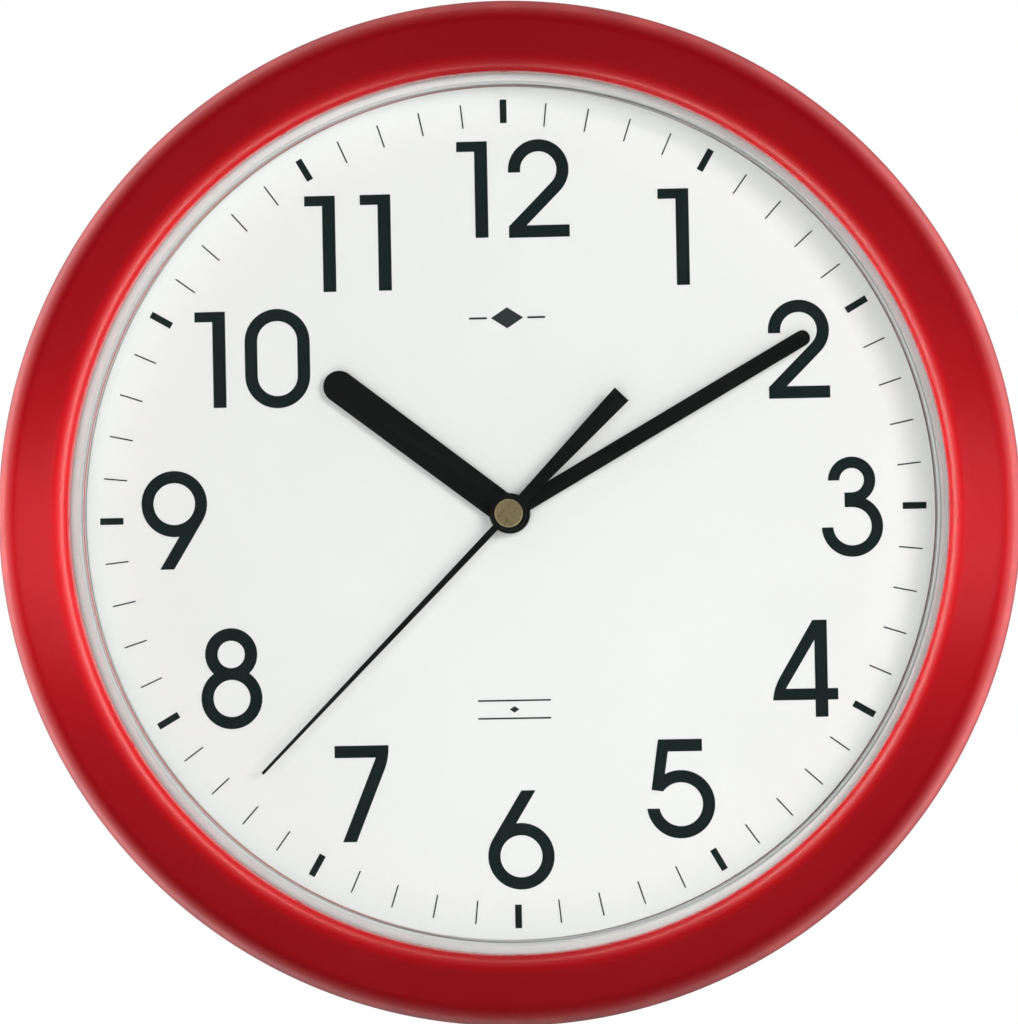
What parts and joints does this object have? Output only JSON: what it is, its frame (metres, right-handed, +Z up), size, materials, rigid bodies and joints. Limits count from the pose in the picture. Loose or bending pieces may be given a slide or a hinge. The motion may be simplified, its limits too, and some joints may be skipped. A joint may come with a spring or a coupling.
{
  "type": "wall clock",
  "caption": "Round battery wall clock: red moulded bezel, clear domed lens, white dial with numerals, black hands driven by a geared quartz movement, keyhole hanger behind.",
  "frame": {"origin": "on the axis of the hands, in the plane of the wall the rear rim rests on", "axes": "+Z up through twelve o'clock, +Y from the clock into the wall, +X towards three o'clock; the face looks along -Y"},
  "size_m": [0.25, 0.042, 0.25],
  "materials": {
    "red_plastic": "gloss",
    "clear_plastic": "clear gloss",
    "white_plastic": "satin",
    "dial_sheet": "satin",
    "ink": "matt",
    "grey_ink": "matt",
    "screw_steel": "zinc plated",
    "black_plastic": "fine texture",
    "grey_plastic": "matt",
    "wheel_plastic": "natural",
    "cell_jacket": "printed film",
    "contact_metal": "nickel plated",
    "board": "solder mask",
    "chip_resin": "moulded",
    "crystal_can": "drawn",
    "soft_iron": "stamped",
    "copper": "enamelled wire",
    "magnet": "ground",
    "hand_black": "black paint",
    "brass_cap": "turned"
  },
  "bodies": {
    "case": {"bezel": "red_plastic", "lens": "clear_plastic", "back_shell": "white_plastic", "bezel_screws": "screw_steel", "dial": "dial_sheet", "dial_numerals": "ink", "dial_ticks": "ink", "dial_ornaments": "grey_ink", "movement_back_case": "black_plastic", "movement_front_case": "black_plastic", "middle_plate": "grey_plastic", "contact_positive": "contact_metal", "contact_negative": "contact_metal", "contact_spring": "contact_metal", "circuit_board": "board", "control_chip": "chip_resin", "quartz_crystal": "crystal_can", "stator": "soft_iron", "coil_core": "soft_iron", "coil_bobbin": "grey_plastic", "coil_winding": "copper"},
    "second": {"second_hand": "hand_black", "second_hand_cap": "brass_cap", "second_arbor": "contact_metal", "second_wheel": "wheel_plastic"},
    "minute": {"minute_hand": "hand_black", "minute_pipe": "wheel_plastic"},
    "hour": {"hour_hand": "hand_black", "hour_wheel": "wheel_plastic"},
    "center": {"center_wheel": "wheel_plastic"},
    "third": {"third_wheel": "wheel_plastic"},
    "fifth": {"fifth_wheel": "wheel_plastic"},
    "rotor": {"rotor": "wheel_plastic", "rotor_magnet": "magnet"},
    "motion": {"motion_wheel": "wheel_plastic"},
    "setting": {"setting_shaft": "wheel_plastic", "setting_knob": "black_plastic"},
    "cell": {"battery": "cell_jacket"}
  },
  "joints": [
    {"name": "second_spin", "type": "hinge", "parent": "case", "child": "second", "pos_m": [0, 0, 0], "axis": [0, 1, 0], "continuous": true},
    {"name": "minute_spin", "type": "hinge", "parent": "case", "child": "minute", "pos_m": [0, 0, 0], "axis": [0, 1, 0], "continuous": true},
    {"name": "hour_spin", "type": "hinge", "parent": "case", "child": "hour", "pos_m": [0, 0, 0], "axis": [0, 1, 0], "continuous": true},
    {"name": "center_spin", "type": "hinge", "parent": "case", "child": "center", "pos_m": [0, 0, 0], "axis": [0, 1, 0], "continuous": true},
    {"name": "third_spin", "type": "hinge", "parent": "case", "child": "third", "pos_m": [0.00883, 0, 0.0051], "axis": [0, 1, 0], "continuous": true},
    {"name": "fifth_spin", "type": "hinge", "parent": "case", "child": "fifth", "pos_m": [-0.0098, 0, 0.00263], "axis": [0, 1, 0], "continuous": true},
    {"name": "rotor_spin", "type": "hinge", "parent": "case", "child": "rotor", "pos_m": [-0.01118, 0, 0.01043], "axis": [0, 1, 0], "continuous": true},
    {"name": "motion_spin", "type": "hinge", "parent": "case", "child": "motion", "pos_m": [0.00125, 0, 0.00709], "axis": [0, 1, 0], "continuous": true},
    {"name": "setting_spin", "type": "hinge", "parent": "case", "child": "setting", "pos_m": [0.0025, 0, 0.01418], "axis": [0, 1, 0], "continuous": true},
    {"name": "cell_slide", "type": "slide", "parent": "case", "child": "cell", "axis": [0, 1, 0], "range_m": [0, 0.025]}
  ],
  "couplings": [
    {"joint": "third_spin", "follows": "second_spin", "ratio": -0.13333},
    {"joint": "center_spin", "follows": "second_spin", "ratio": 0.016667},
    {"joint": "minute_spin", "follows": "second_spin", "ratio": 0.016667},
    {"joint": "fifth_spin", "follows": "second_spin", "ratio": -6},
    {"joint": "rotor_spin", "follows": "second_spin", "ratio": 30},
    {"joint": "motion_spin", "follows": "second_spin", "ratio": -0.0055556},
    {"joint": "hour_spin", "follows": "second_spin", "ratio": 0.0013889},
    {"joint": "setting_spin", "follows": "second_spin", "ratio": 0.016667}
  ]
}
